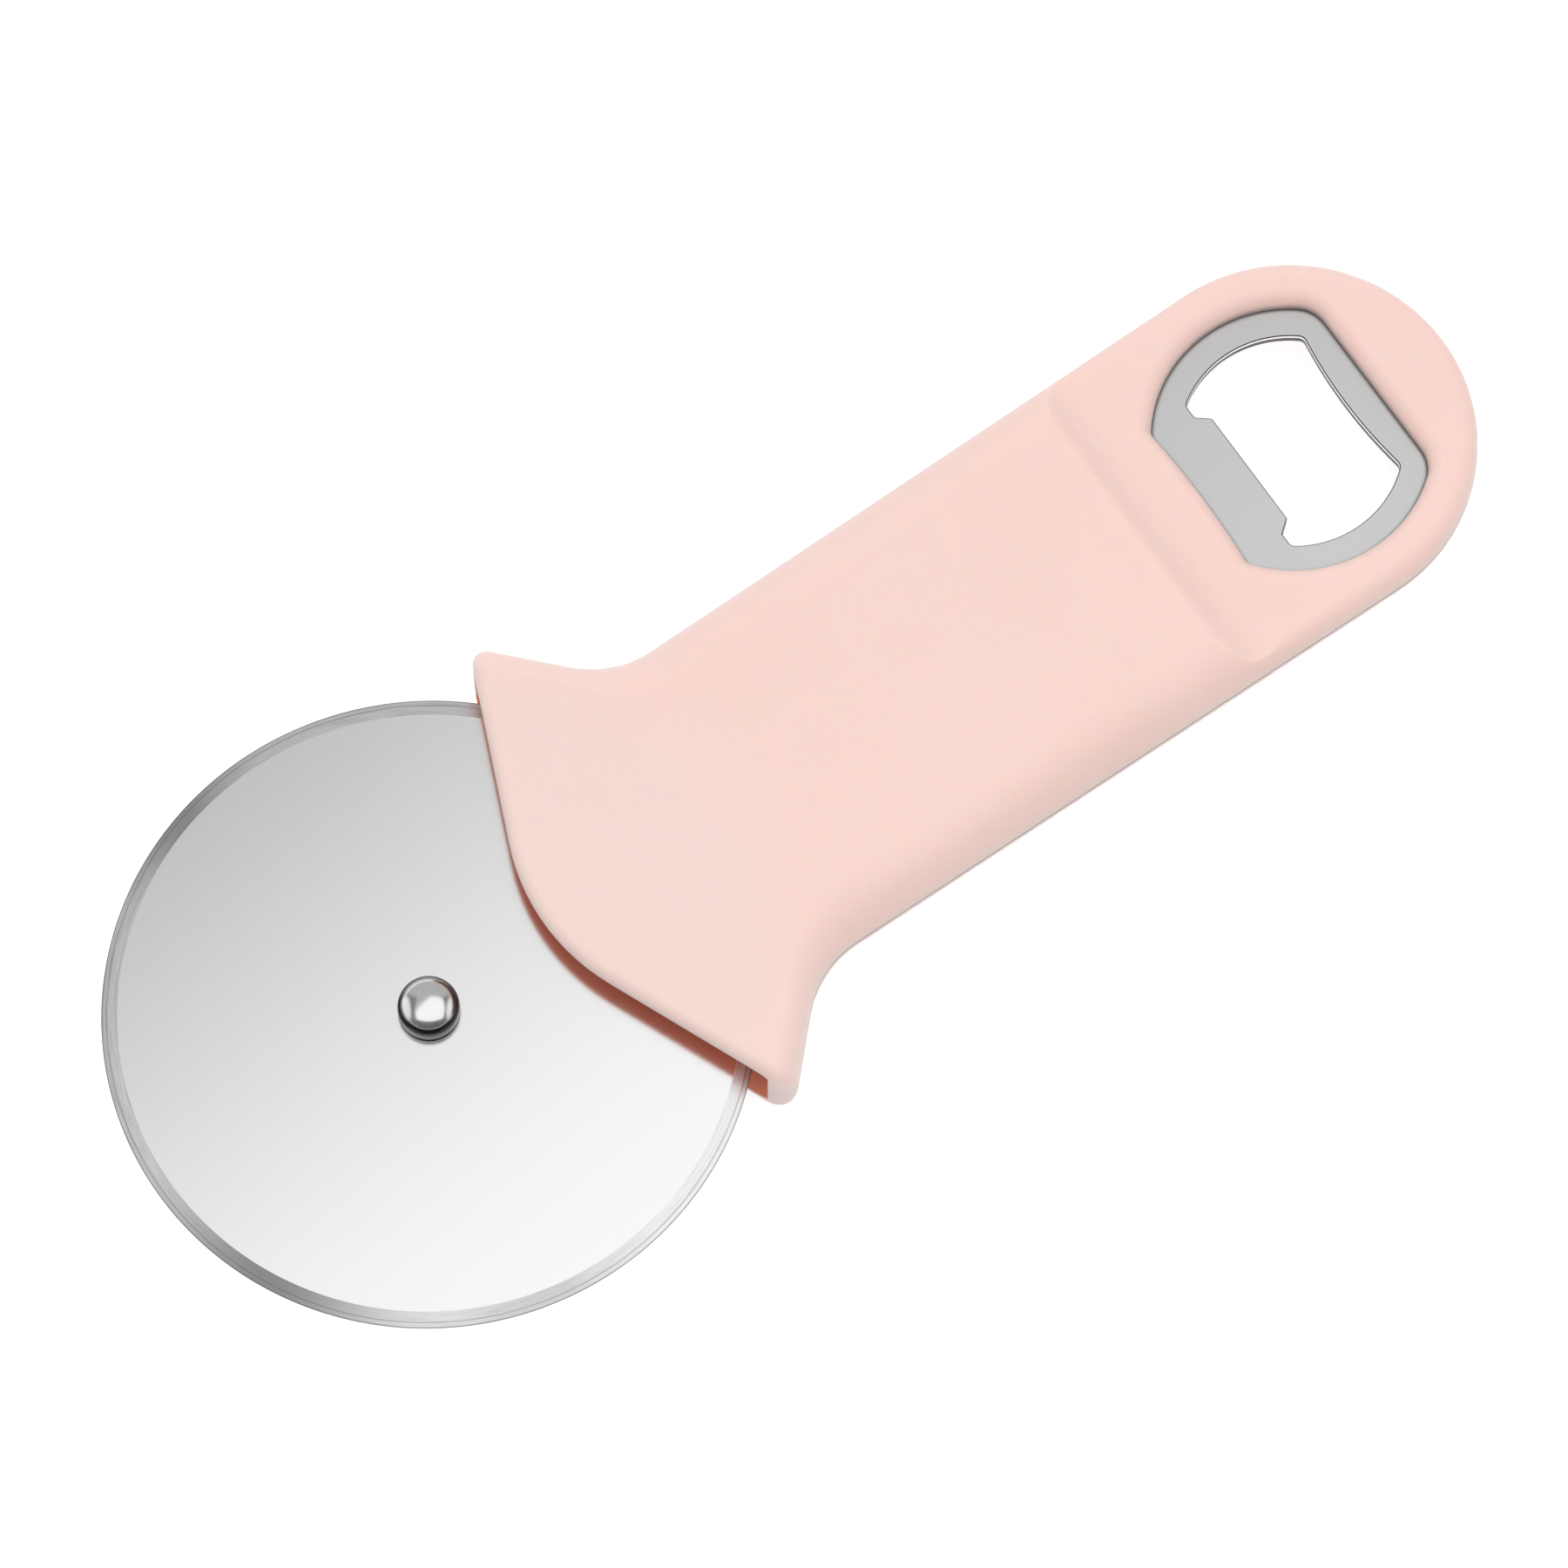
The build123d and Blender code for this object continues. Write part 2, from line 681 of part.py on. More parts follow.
# Screws that join the shells, driven from the back
shell_seat_z = screw_well_depth
shell_screw = screw_form(mid_z + shell_screw_engagement - shell_seat_z)
with BuildPart() as shell_screws:
    with Locations(*[(x, y, shell_seat_z) for x, y in shell_screw_places]):
        add(shell_screw)
shell_screws.part.label = "shell_screws"
export_step(shell_screws.part, "parts/shell_screws.step")

# The shorter screw at the opener end
end_seat_z = paddle_back_z + screw_well_depth
short_screw = screw_form(mid_z + end_screw_engagement - end_seat_z)
with BuildPart() as end_screw:
    with Locations((*end_screw_place, end_seat_z)):
        add(short_screw)
end_screw.part.label = "end_screw"
export_step(end_screw.part, "parts/end_screw.step")

# Screws that hold the arm to the back shell, driven from inside
arm_screw = screw_form(arm_top_z - arm_screw_skin)
with BuildPart() as arm_screws:
    with Locations(*[Location((x, y, arm_top_z), (180, 0, 0)) for x, y in arm_screw_places]):
        add(arm_screw)
arm_screws.part.label = "arm_screws"
export_step(arm_screws.part, "parts/arm_screws.step")

# Plugs over the screws, flush with the back
plug_places = [(x, y, 0) for x, y in shell_screw_places] + [(*end_screw_place, paddle_back_z)]
for number, place in enumerate(plug_places, start=1):
    with BuildPart(Plane.XY.offset(place[2])) as screw_plug:
        with BuildSketch(Plane.XY.offset(place[2])):
            with Locations(place[:2]):
                Circle(head_radius)
        extrude(amount=plug_thickness)
        fillet(screw_plug.edges().group_by(Axis.Z)[0], plug_edge_radius)
    screw_plug.part.label = f"screw_plug_{number}"
    export_step(screw_plug.part, f"parts/screw_plug_{number}.step")
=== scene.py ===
"""The looks of the pizza cutter: finishes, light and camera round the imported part, in metres."""

import json
from math import pi, radians

import bmesh
import bpy
from mathutils import Matrix, Vector


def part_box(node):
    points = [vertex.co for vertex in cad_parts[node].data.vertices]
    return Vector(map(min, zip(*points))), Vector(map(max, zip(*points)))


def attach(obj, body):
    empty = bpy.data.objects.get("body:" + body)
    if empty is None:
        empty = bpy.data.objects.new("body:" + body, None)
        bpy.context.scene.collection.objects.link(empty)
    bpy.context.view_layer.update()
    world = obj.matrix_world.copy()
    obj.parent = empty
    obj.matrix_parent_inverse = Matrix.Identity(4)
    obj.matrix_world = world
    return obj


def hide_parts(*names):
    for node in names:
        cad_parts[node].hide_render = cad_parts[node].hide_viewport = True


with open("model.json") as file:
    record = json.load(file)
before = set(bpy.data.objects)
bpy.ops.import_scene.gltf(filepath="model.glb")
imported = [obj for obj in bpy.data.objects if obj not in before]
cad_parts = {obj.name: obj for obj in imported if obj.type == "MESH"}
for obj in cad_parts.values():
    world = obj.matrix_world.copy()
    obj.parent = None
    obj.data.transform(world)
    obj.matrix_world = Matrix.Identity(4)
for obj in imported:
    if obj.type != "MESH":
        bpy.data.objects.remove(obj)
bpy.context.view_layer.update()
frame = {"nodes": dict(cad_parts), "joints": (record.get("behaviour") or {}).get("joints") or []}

MM = 0.001

# Places that the frame gives
wheel_low, wheel_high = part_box("cutting_wheel")
rivet_low, rivet_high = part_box("axle_rivet")
bush_low, bush_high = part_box("axle_bush")
wheel_joint = frame["joints"][0]["pos_m"]
axle_x = wheel_joint[0]
mid_z = wheel_joint[2]
wheel_radius = (wheel_high.x - wheel_low.x) / 2
running_clearance = 0.05 * MM
well_clearance = 2.7 * MM
well_radius = wheel_radius + well_clearance

# The wheel's bevel: its width, the finer step at its edge, how wide and how blurred its painted dark lines
# are, and its painted darker reflection patches (direction in degrees, how narrow, how dark)
bevel_width = 2.2 * MM
edge_step = 0.75 * MM
line_width = 0.12 * MM
line_blur = 0.03 * MM
painted_dark_patches = ((107, 40, 0.58), (206, 12, 0.86), (256, 22, 0.36))


# Material helpers


def new_material(name):
    """A node material. Returns it with its nodes, its links and its Principled shader."""
    material = bpy.data.materials.new(name)
    material.use_nodes = True
    nodes = material.node_tree.nodes
    links = material.node_tree.links
    return material, nodes, links, nodes["Principled BSDF"]


def object_place(nodes, links, centre=(0, 0, 0), turn=0.0, scale=(1, 1, 1)):
    """Object coordinates, centred on a place, turned about Z and scaled."""
    coordinates = nodes.new("ShaderNodeTexCoord")
    mapping = nodes.new("ShaderNodeMapping")
    mapping.vector_type = "TEXTURE"
    mapping.inputs["Location"].default_value = centre
    mapping.inputs["Rotation"].default_value = (0, 0, turn)
    mapping.inputs["Scale"].default_value = scale
    links.new(coordinates.outputs["Object"], mapping.inputs["Vector"])
    return mapping.outputs["Vector"]


def parts_of(nodes, links, vector):
    """The X, Y and Z of a vector, as three sockets."""
    parts = nodes.new("ShaderNodeSeparateXYZ")
    links.new(vector, parts.inputs["Vector"])
    return parts.outputs


def along(nodes, links, vector, direction):
    """How far a vector points along a direction."""
    node = nodes.new("ShaderNodeVectorMath")
    node.operation = "DOT_PRODUCT"
    node.inputs[1].default_value = direction
    links.new(vector, node.inputs[0])
    return node.outputs["Value"]


def noise(nodes, links, vector, scale, detail):
    """A noise texture's value on the given coordinates."""
    texture = nodes.new("ShaderNodeTexNoise")
    texture.inputs["Scale"].default_value = scale
    texture.inputs["Detail"].default_value = detail
    links.new(vector, texture.inputs["Vector"])
    return texture.outputs["Fac"]


def calculate(nodes, links, operation, first, second=None):
    """One Math node. Each input is a socket or a number."""
    node = nodes.new("ShaderNodeMath")
    node.operation = operation
    for slot, value in enumerate((first, second)):
        if hasattr(value, "links"):
            links.new(value, node.inputs[slot])
        elif value is not None:
            node.inputs[slot].default_value = value
    return node.outputs["Value"]


def squared(nodes, links, value):
    """A value times itself."""
    return calculate(nodes, links, "MULTIPLY", value, value)


def reach_of(nodes, links, x, y):
    """How far a place lies from the wheel's axis."""
    both = calculate(nodes, links, "ADD", squared(nodes, links, x), squared(nodes, links, y))
    return calculate(nodes, links, "SQRT", both)


def remap(nodes, links, value, from_low, from_high, to_low, to_high, smooth=False):
    """A value moved from one range to another, and kept inside it."""
    node = nodes.new("ShaderNodeMapRange")
    node.clamp = True
    if smooth:
        node.interpolation_type = "SMOOTHSTEP"
    node.inputs["From Min"].default_value = from_low
    node.inputs["From Max"].default_value = from_high
    node.inputs["To Min"].default_value = to_low
    node.inputs["To Max"].default_value = to_high
    links.new(value, node.inputs["Value"])
    return node.outputs["Result"]


def blend_colours(nodes, links, factor, first, second):
    """A mix of two colours. Each is a socket or a tuple."""
    node = nodes.new("ShaderNodeMix")
    node.data_type = "RGBA"
    sockets = [s for s in node.inputs if s.type == "RGBA"]
    for socket, colour in zip(sockets, (first, second)):
        if hasattr(colour, "links"):
            links.new(colour, socket)
        else:
            socket.default_value = (*colour, 1)
    links.new(factor, node.inputs["Factor"])
    return next(s for s in node.outputs if s.type == "RGBA")


def blend_values(nodes, links, factor, first, second):
    """A mix of two numbers. Each is a socket."""
    node = nodes.new("ShaderNodeMix")
    links.new(factor, node.inputs["Factor"])
    links.new(first, node.inputs["A"])
    links.new(second, node.inputs["B"])
    return node.outputs["Result"]


def openness(nodes, links, distance):
    """1 on an open surface, less where another surface is nearer than the distance."""
    crevice = nodes.new("ShaderNodeAmbientOcclusion")
    crevice.samples = 6
    crevice.inputs["Distance"].default_value = distance
    return crevice.outputs["AO"]


def bump(nodes, links, shader, height, distance):
    """A bump from a height value, its distance in metres."""
    node = nodes.new("ShaderNodeBump")
    node.inputs["Distance"].default_value = distance
    links.new(height, node.inputs["Height"])
    links.new(node.outputs["Normal"], shader.inputs["Normal"])


def linear(red, green, blue):
    """A colour as Blender's shaders take it, from the 0 to 255 values that it shows."""
    shares = [value / 255 for value in (red, green, blue)]
    return tuple(s / 12.92 if s <= 0.04045 else ((s + 0.055) / 1.055) ** 2.4 for s in shares)


def grey(value):
    """A grey as a colour for a shader."""
    return linear(value, value, value)


# Finishes


def blush_plastic():
    """Smooth moulded plastic, pale blush pink, with painted shade: duller over the hollow hood, deeper inside
    it and darker in crevices.
    """
    hood_fade_start = well_radius - 8 * MM
    hood_fade_end = well_radius + 12 * MM
    crevice_reach = 4.5 * MM
    clean_back = -4 * MM
    shaded_from = -1 * MM
    material, nodes, links, shader = new_material("blush_plastic")
    place = object_place(nodes, links, centre=(axle_x, 0, mid_z))
    x, y, z = parts_of(nodes, links, place)
    reach = reach_of(nodes, links, x, y)
    cloud = remap(nodes, links, noise(nodes, links, place, 38, detail=2), 0.35, 0.65, 0, 1)
    grip_tone = blend_colours(nodes, links, cloud, linear(246, 213, 204), linear(247, 215, 207))
    # painted shade: the tone turns duller and greyer over the hood
    painted_hood_shade = remap(nodes, links, reach, hood_fade_start, hood_fade_end, 1, 0, smooth=True)
    tone = blend_colours(nodes, links, painted_hood_shade, grip_tone, linear(240, 216, 209))

    # faces that look towards the parting plane are inside the hood and the opener's pocket; they get a
    # painted shade, deeper and redder
    surface = nodes.new("ShaderNodeNewGeometry")
    facing = parts_of(nodes, links, surface.outputs["Normal"])["Z"]
    inward = calculate(nodes, links, "MULTIPLY", calculate(nodes, links, "SIGN", z), facing)
    inside = remap(nodes, links, inward, -0.6, -0.1, 1, 0, smooth=True)
    painted_inside_shade = blend_colours(nodes, links, inside, tone, linear(236, 152, 122))

    # painted shade: crevices are darkened, but not where the back meets the floor
    depth = remap(nodes, links, openness(nodes, links, crevice_reach), 0.45, 0.84, 0.95, 0)
    above_back = remap(nodes, links, z, clean_back, shaded_from, 0, 1)
    shade = calculate(nodes, links, "MULTIPLY", depth, above_back)
    painted_crevice_shade_tone = blend_colours(nodes, links, shade, painted_inside_shade, linear(116, 86, 80))
    links.new(painted_crevice_shade_tone, shader.inputs["Base Color"])

    sheen = noise(nodes, links, place, 900, detail=2)
    links.new(remap(nodes, links, sheen, 0.3, 0.7, 0.40, 0.47), shader.inputs["Roughness"])
    shader.inputs["Specular IOR Level"].default_value = 0.35
    shader.inputs["Sheen Weight"].default_value = 0.25
    shader.inputs["Sheen Roughness"].default_value = 0.5
    shader.inputs["Subsurface Weight"].default_value = 0.6
    shader.inputs["Subsurface Radius"].default_value = (1.0, 0.4, 0.25)
    shader.inputs["Subsurface Scale"].default_value = 2.5 * MM
    pores = noise(nodes, links, place, 5200, detail=1)
    bump(nodes, links, shader, pores, 0.004 * MM)
    return material


def satin_steel(name, tone, contrast, rough, stretch, turn=0.0):
    """Steel with fine straight marks and painted shade in its crevices. stretch is a mark's length to its
    width.
    """
    material, nodes, links, shader = new_material(name)
    centre = (axle_x, 0, mid_z)
    place = object_place(nodes, links, centre=centre, turn=turn, scale=(stretch, 1, 1))
    marks = noise(nodes, links, place, 3000, detail=3)
    share = remap(nodes, links, marks, 0.3, 0.7, 0, 1)
    marked = blend_colours(nodes, links, share, grey(tone - contrast), grey(tone + contrast))
    # painted shade: the tone darkens where other surfaces are near
    shade = remap(nodes, links, openness(nodes, links, 0.7 * MM), 0.55, 0.9, 0.85, 0)
    painted_steel_crevice_shade = blend_colours(nodes, links, shade, marked, linear(48, 44, 42))
    links.new(painted_steel_crevice_shade, shader.inputs["Base Color"])
    shader.inputs["Metallic"].default_value = 1.0
    roughness = remap(nodes, links, marks, 0.3, 0.7, rough - 0.03, rough + 0.03)
    links.new(roughness, shader.inputs["Roughness"])
    bump(nodes, links, shader, marks, 0.001 * MM)
    return material


def sheared_steel():
    """The stamped pieces' sides: bright where the punch cut them clean, dark where they broke out below."""
    clean_cut_start = 0.25 * MM
    clean_cut_end = 0.45 * MM
    ragged = 0.2 * MM
    material, nodes, links, shader = new_material("sheared_side_steel")
    place = object_place(nodes, links, centre=(0, 0, mid_z))
    level = parts_of(nodes, links, place)["Z"]
    tear = noise(nodes, links, place, 1200, detail=2)
    height = calculate(nodes, links, "ADD", level, calculate(nodes, links, "MULTIPLY", tear, ragged))
    clean = remap(nodes, links, height, clean_cut_start, clean_cut_end, 0, 1)
    tone = blend_colours(nodes, links, clean, linear(64, 62, 61), grey(240))
    links.new(tone, shader.inputs["Base Color"])
    shader.inputs["Metallic"].default_value = 1.0
    shader.inputs["Roughness"].default_value = 0.35
    return material


def polished_chrome():
    """Polished plating with the faintest waviness, and a painted dark reflection and shade round the foot of
    the head.
    """
    seat_blur = 0.2 * MM
    dark_foot_top = 3.0 * MM
    bright_dome_start = 3.9 * MM
    material, nodes, links, shader = new_material("polished_chrome")
    place = object_place(nodes, links, centre=(axle_x, 0, bush_high.z))
    haze = noise(nodes, links, place, 700, detail=2)
    tone = blend_colours(nodes, links, haze, linear(232, 232, 233), grey(242))
    height = parts_of(nodes, links, place)["Z"]
    # painted dark reflection and shade on the foot below the dome
    above_seat = remap(nodes, links, height, -seat_blur, 0, 0, 1)
    near_seat = remap(nodes, links, height, dark_foot_top, bright_dome_start, 1, 0, smooth=True)
    painted_foot_shade = calculate(nodes, links, "MULTIPLY", above_seat, near_seat)
    painted_foot_tone = blend_colours(nodes, links, painted_foot_shade, tone, linear(50, 50, 52))
    links.new(painted_foot_tone, shader.inputs["Base Color"])
    shader.inputs["Metallic"].default_value = 1.0
    links.new(remap(nodes, links, haze, 0.3, 0.7, 0.18, 0.21), shader.inputs["Roughness"])
    return material


def nylon():
    """Natural nylon: off-white, a little cloudy and waxy."""
    material, nodes, links, shader = new_material("washer_nylon")
    place = object_place(nodes, links)
    cloud = noise(nodes, links, place, 400, detail=2)
    tone = blend_colours(nodes, links, cloud, linear(232, 229, 217), linear(240, 237, 227))
    links.new(tone, shader.inputs["Base Color"])
    shader.inputs["Roughness"].default_value = 0.5
    shader.inputs["Subsurface Weight"].default_value = 0.3
    shader.inputs["Subsurface Scale"].default_value = 0.5 * MM
    return material


def zinc_plate():
    """Bright zinc plating on the screws, faintly mottled."""
    material, nodes, links, shader = new_material("screw_zinc")
    place = object_place(nodes, links)
    mottle = noise(nodes, links, place, 900, detail=3)
    tone = blend_colours(nodes, links, mottle, linear(196, 200, 206), linear(220, 222, 224))
    links.new(tone, shader.inputs["Base Color"])
    shader.inputs["Metallic"].default_value = 1.0
    links.new(remap(nodes, links, mottle, 0.3, 0.7, 0.25, 0.4), shader.inputs["Roughness"])
    return material


def ground_marks(nodes, links, reach, angle):
    """Marks that run round the bevel, as its grinding leaves them."""
    marks_per_metre = 900.0
    polar = nodes.new("ShaderNodeCombineXYZ")
    links.new(calculate(nodes, links, "COSINE", angle), polar.inputs["X"])
    links.new(calculate(nodes, links, "SINE", angle), polar.inputs["Y"])
    links.new(calculate(nodes, links, "MULTIPLY", reach, marks_per_metre), polar.inputs["Z"])
    return noise(nodes, links, polar.outputs["Vector"], 9, detail=3)


def bevel_with_painted_shade(nodes, links, tone, reach, angle):
    """The bevel's tone with painted darker reflection patches, and painted dark lines at its step and its
    rim.
    """
    # painted reflection: darker patches on the bevel at the given directions
    for direction, narrowness, dark in painted_dark_patches:
        turned = calculate(nodes, links, "SUBTRACT", angle, radians(direction))
        towards = calculate(nodes, links, "MAXIMUM", calculate(nodes, links, "COSINE", turned), 0.0)
        patch = calculate(nodes, links, "POWER", towards, narrowness)
        share = calculate(nodes, links, "MULTIPLY", patch, dark)
        tone = blend_colours(nodes, links, share, tone, grey(118))
    # painted dark lines along the bevel's step and its rim
    off_step = calculate(nodes, links, "SUBTRACT", reach, wheel_radius - edge_step)
    off_step = calculate(nodes, links, "ABSOLUTE", off_step)
    on_step = remap(nodes, links, off_step, line_blur, line_width, 0.45, 0)
    tone = blend_colours(nodes, links, on_step, tone, grey(96))
    rim_start = wheel_radius - 1.5 * line_width
    rim_full = wheel_radius - 0.5 * line_width
    on_rim = remap(nodes, links, reach, rim_start, rim_full, 0, 0.7)
    return blend_colours(nodes, links, on_rim, tone, grey(80))


def wheel_steel():
    """The wheel: a satin face, nearly a mirror, and a bevel ground in two steps."""
    material, nodes, links, shader = new_material("wheel_steel")
    place = object_place(nodes, links, centre=(axle_x, 0, mid_z))
    x, y = parts_of(nodes, links, place)[:2]
    reach = reach_of(nodes, links, x, y)
    angle = calculate(nodes, links, "ARCTAN2", y, x)
    marks = ground_marks(nodes, links, reach, angle)
    grain = noise(nodes, links, place, 2500, detail=3)

    face_end = wheel_radius - bevel_width
    on_bevel = remap(nodes, links, reach, face_end - line_blur, face_end + line_blur, 0, 1)
    face_tone = blend_colours(nodes, links, grain, grey(241), grey(245))
    mark_share = remap(nodes, links, marks, 0.3, 0.7, 0, 1)
    marked_tone = blend_colours(nodes, links, mark_share, grey(222), grey(252))
    bevel_tone = bevel_with_painted_shade(nodes, links, marked_tone, reach, angle)
    tone = blend_colours(nodes, links, on_bevel, face_tone, bevel_tone)
    links.new(tone, shader.inputs["Base Color"])

    shader.inputs["Metallic"].default_value = 1.0
    face_rough = remap(nodes, links, grain, 0.3, 0.7, 0.15, 0.18)
    bevel_rough = remap(nodes, links, marks, 0.3, 0.7, 0.30, 0.42)
    links.new(blend_values(nodes, links, on_bevel, face_rough, bevel_rough), shader.inputs["Roughness"])
    bump(nodes, links, shader, calculate(nodes, links, "MULTIPLY", marks, on_bevel), 0.004 * MM)
    return material


# Pieces


def dress(node, material):
    """Gives a CAD node its finish."""
    piece = frame["nodes"][node]
    piece.data.materials.clear()
    piece.data.materials.append(material)


def add_piece(mesh, name, body, node, material, sharp_angle):
    """Makes a finished bmesh a piece that rides on a body and stands for a CAD node."""
    data = bpy.data.meshes.new(name)
    mesh.to_mesh(data)
    mesh.free()
    data.shade_smooth()
    data.set_sharp_from_angle(angle=radians(sharp_angle))
    data.materials.append(material)
    piece = bpy.data.objects.new(name, data)
    bpy.context.scene.collection.objects.link(piece)
    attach(piece, body)
    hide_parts(node)
    return piece


def profile_line(mesh, start, points, close=False):
    """Adds straight runs to a profile from a vertex, through points of radius and height."""
    last = start
    for radius, height in points:
        corner = mesh.verts.new((axle_x + radius, 0, height))
        mesh.edges.new((last, corner))
        last = corner
    if close:
        mesh.edges.new((last, start))
    return last


def turn_profile(mesh, segments):
    """Spins the profile into a round piece about the axle, closed and facing outwards."""
    bmesh.ops.spin(
        mesh,
        geom=mesh.verts[:] + mesh.edges[:],
        cent=(axle_x, 0, 0),
        axis=(0, 0, 1),
        angle=2 * pi,
        steps=segments,
        use_merge=True,
    )
    bmesh.ops.remove_doubles(mesh, verts=mesh.verts, dist=0.001 * MM)
    bmesh.ops.recalc_face_normals(mesh, faces=mesh.faces)


def round_edges(mesh, width, steep):
    """Bevels the edges that turn by more than the angle steep."""
    edges = [edge for edge in mesh.edges if edge.is_manifold and edge.calc_face_angle() > steep]
    bmesh.ops.bevel(
        mesh,
        geom=edges,
        offset=width,
        offset_type="OFFSET",
        segments=3,
        profile=0.5,
        affect="EDGES",
        material=-1,
        clamp_overlap=True,
    )


def cutting_wheel_piece(material):
    """The wheel: a thin disc ground to a fine edge on both sides, with a bore."""
    edge_thickness = 0.16 * MM
    edge_step_rise = 0.04 * MM
    bore = (bush_high.x - bush_low.x) / 2 + running_clearance
    middle = (wheel_low.z + wheel_high.z) / 2
    flat_radius = wheel_radius - bevel_width
    step_radius = wheel_radius - edge_step
    slope = ((wheel_high.z - wheel_low.z) - edge_thickness) / 2 / bevel_width
    step_half = edge_thickness / 2 + edge_step * slope + edge_step_rise
    mesh = bmesh.new()
    start = mesh.verts.new((axle_x + bore, 0, wheel_high.z))
    profile_line(
        mesh,
        start,
        [
            (flat_radius, wheel_high.z),
            (step_radius, middle + step_half),
            (wheel_radius, middle + edge_thickness / 2),
            (wheel_radius, middle - edge_thickness / 2),
            (step_radius, middle - step_half),
            (flat_radius, wheel_low.z),
            (bore, wheel_low.z),
        ],
        close=True,
    )
    turn_profile(mesh, segments=360)
    add_piece(mesh, "ground_wheel", "wheel", "cutting_wheel", material, sharp_angle=2.5)


def axle_rivet_piece(material):
    """The rivet: a domed head on a straight foot, a shank through the wheel, and a low domed tail."""
    head_radius = (rivet_high.x - rivet_low.x) / 2
    dome_height = 3.4 * MM
    foot_round = 0.3 * MM
    shank_radius = 2.0 * MM
    tail_radius = 3.3 * MM
    tail_height = 1.3 * MM
    shoulder_share = 0.82
    shoulder_lift = 0.14
    crown_share = 0.45
    seat_z = bush_high.z
    tail_z = rivet_low.z
    dome_foot = rivet_high.z - dome_height
    mesh = bmesh.new()
    top = mesh.verts.new((axle_x, 0, dome_foot + head_radius))
    dome = bmesh.ops.spin(
        mesh, geom=[top], cent=(axle_x, 0, dome_foot), axis=(0, 1, 0), angle=pi / 2, steps=32
    )
    rim = next(item for item in dome["geom_last"] if isinstance(item, bmesh.types.BMVert))
    lower_dome = Matrix.Diagonal((1, 1, dome_height / head_radius, 1))
    to_foot = Matrix.Translation((0, 0, -dome_foot))
    bmesh.ops.transform(mesh, matrix=to_foot.inverted() @ lower_dome @ to_foot, verts=mesh.verts)
    last = profile_line(
        mesh,
        rim,
        [
            (head_radius, seat_z + foot_round),
            (head_radius - foot_round, seat_z),
            (shank_radius, seat_z),
            (shank_radius, tail_z + tail_height),
            (tail_radius, tail_z + tail_height),
            (tail_radius, tail_z + tail_height / 2),
            (tail_radius * shoulder_share, tail_z + tail_height * shoulder_lift),
            (tail_radius * crown_share, tail_z),
        ],
    )
    profile_line(mesh, last, [(0, tail_z)])
    turn_profile(mesh, segments=96)
    add_piece(mesh, "domed_rivet", "handle", "axle_rivet", material, sharp_angle=40)


def finish_number(face):
    """Which finish a stamped face takes: 0 on the flat, 1 on an upright side, 2 on a rolled edge."""
    flatness = abs(face.normal.z)
    if flatness > 0.97:
        return 0
    if flatness < 0.2:
        return 1
    return 2


def stamped_copy(node, name, finishes):
    """A CAD node's shape with rolled edges, as stamping leaves them. The finishes are face, side and edge."""
    edge_roll = 0.32 * MM
    corner_turn = radians(50)
    merge_turn = radians(0.3)
    mesh = bmesh.new()
    mesh.from_mesh(frame["nodes"][node].data)
    bmesh.ops.remove_doubles(mesh, verts=mesh.verts, dist=0.001 * MM)
    bmesh.ops.dissolve_limit(mesh, angle_limit=merge_turn, verts=mesh.verts, edges=mesh.edges)
    round_edges(mesh, edge_roll, corner_turn)
    for face in mesh.faces:
        face.material_index = finish_number(face)
    piece = add_piece(mesh, name, "handle", node, finishes[0], sharp_angle=25)
    for finish in finishes[1:]:
        piece.data.materials.append(finish)
    even = piece.modifiers.new("even_normals", "WEIGHTED_NORMAL")
    even.keep_sharp = True


plastic = blush_plastic()
for name in ("front_shell", "back_shell"):
    dress(name, plastic)
for number in range(1, 6):
    dress(f"screw_plug_{number}", plastic)
cutting_wheel_piece(wheel_steel())
axle_rivet_piece(polished_chrome())
side_finish = sheared_steel()
# painted dark reflection: the rolled edges are given a dark grey tone
painted_dark_edge_finish = satin_steel("painted_dark_rolled_edge_steel", tone=58, contrast=4, rough=0.3, stretch=1)
plate_finish = satin_steel("plate_steel", tone=224, contrast=2, rough=0.36, stretch=14, turn=radians(90))
stamped_copy("opener_plate", "stamped_opener", (plate_finish, side_finish, painted_dark_edge_finish))
arm_finish = satin_steel("arm_steel", tone=200, contrast=5, rough=0.35, stretch=10)
stamped_copy("wheel_arm", "stamped_arm", (arm_finish, side_finish, painted_dark_edge_finish))
dress("rivet_burr", arm_finish)
dress("axle_bush", satin_steel("bush_steel", tone=206, contrast=6, rough=0.28, stretch=1))
dress("spacer_washer", nylon())
screw_finish = zinc_plate()
for name in ("arm_screws", "shell_screws", "end_screw"):
    dress(name, screw_finish)


# Camera, from the wheel's ellipse and the handle's direction in the photograph
focal_length = 240.0
sensor = 36.0
tilt = radians(-18.25)
roll = radians(-0.14)
handle_turn = radians(34.76)
wheel_in_view = Vector((47.7, 31.3, 1415.8)) * MM
axis_shift = 0.6 * MM

view_turn = Matrix.Rotation(tilt, 4, "X") @ Matrix.Rotation(roll, 4, "Y")
photo_frame = Matrix.Translation((axle_x, -axis_shift, mid_z)) @ Matrix.Rotation(-handle_turn, 4, "Z")
camera_data = bpy.data.cameras.new("camera")
camera_data.lens = focal_length
camera_data.sensor_width = sensor
camera_data.clip_start = 0.05
camera_data.clip_end = 20
camera = bpy.data.objects.new("camera", camera_data)
bpy.context.scene.collection.objects.link(camera)
camera.matrix_world = photo_frame @ view_turn.inverted() @ Matrix.Translation(wheel_in_view)
bpy.context.scene.camera = camera
view_right, view_up, view_back = [Vector(axis) for axis in camera.matrix_world.to_3x3().transposed()]


# Floor


